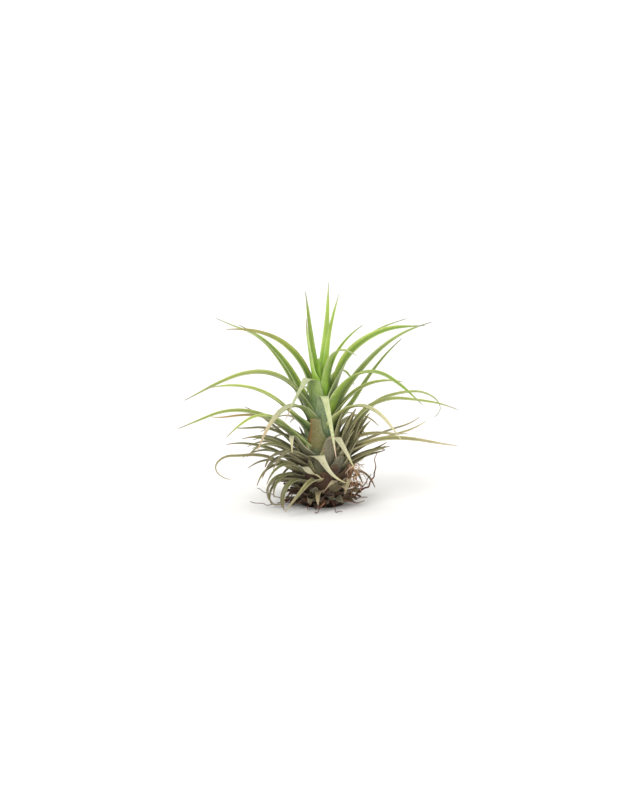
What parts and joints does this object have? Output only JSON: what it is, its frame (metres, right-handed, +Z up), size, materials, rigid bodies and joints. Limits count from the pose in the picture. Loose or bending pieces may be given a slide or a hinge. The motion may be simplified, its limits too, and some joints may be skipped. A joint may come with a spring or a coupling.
{
  "type": "air plant",
  "caption": "Small air plant that stands on its root crown: narrow channelled leaves in a spiral rosette, upright in the heart, arching below and withered round the foot.",
  "frame": {"origin": "centre of the flat underside of the root crown, on the surface that the plant stands on", "axes": "+Z up along the stem; -Y towards the front, the side that the picture shows; +X to the right in that view"},
  "size_m": [0.1016, 0.0709, 0.0806],
  "materials": {
    "young_leaf": "satin lime green",
    "leaf": "satin green under a bloom of fine pale scales",
    "old_leaf": "matt grey-green under fine pale scales",
    "withered_leaf": "dry, matt, straw to grey-brown",
    "root": "dry, matt, dark brown"
  },
  "bodies": {
    "root": {"heart_leaves": "young_leaf", "upper_leaves": "leaf", "lower_leaves": "old_leaf", "withered_leaves": "withered_leaf", "roots": "root"}
  },
  "joints": []
}
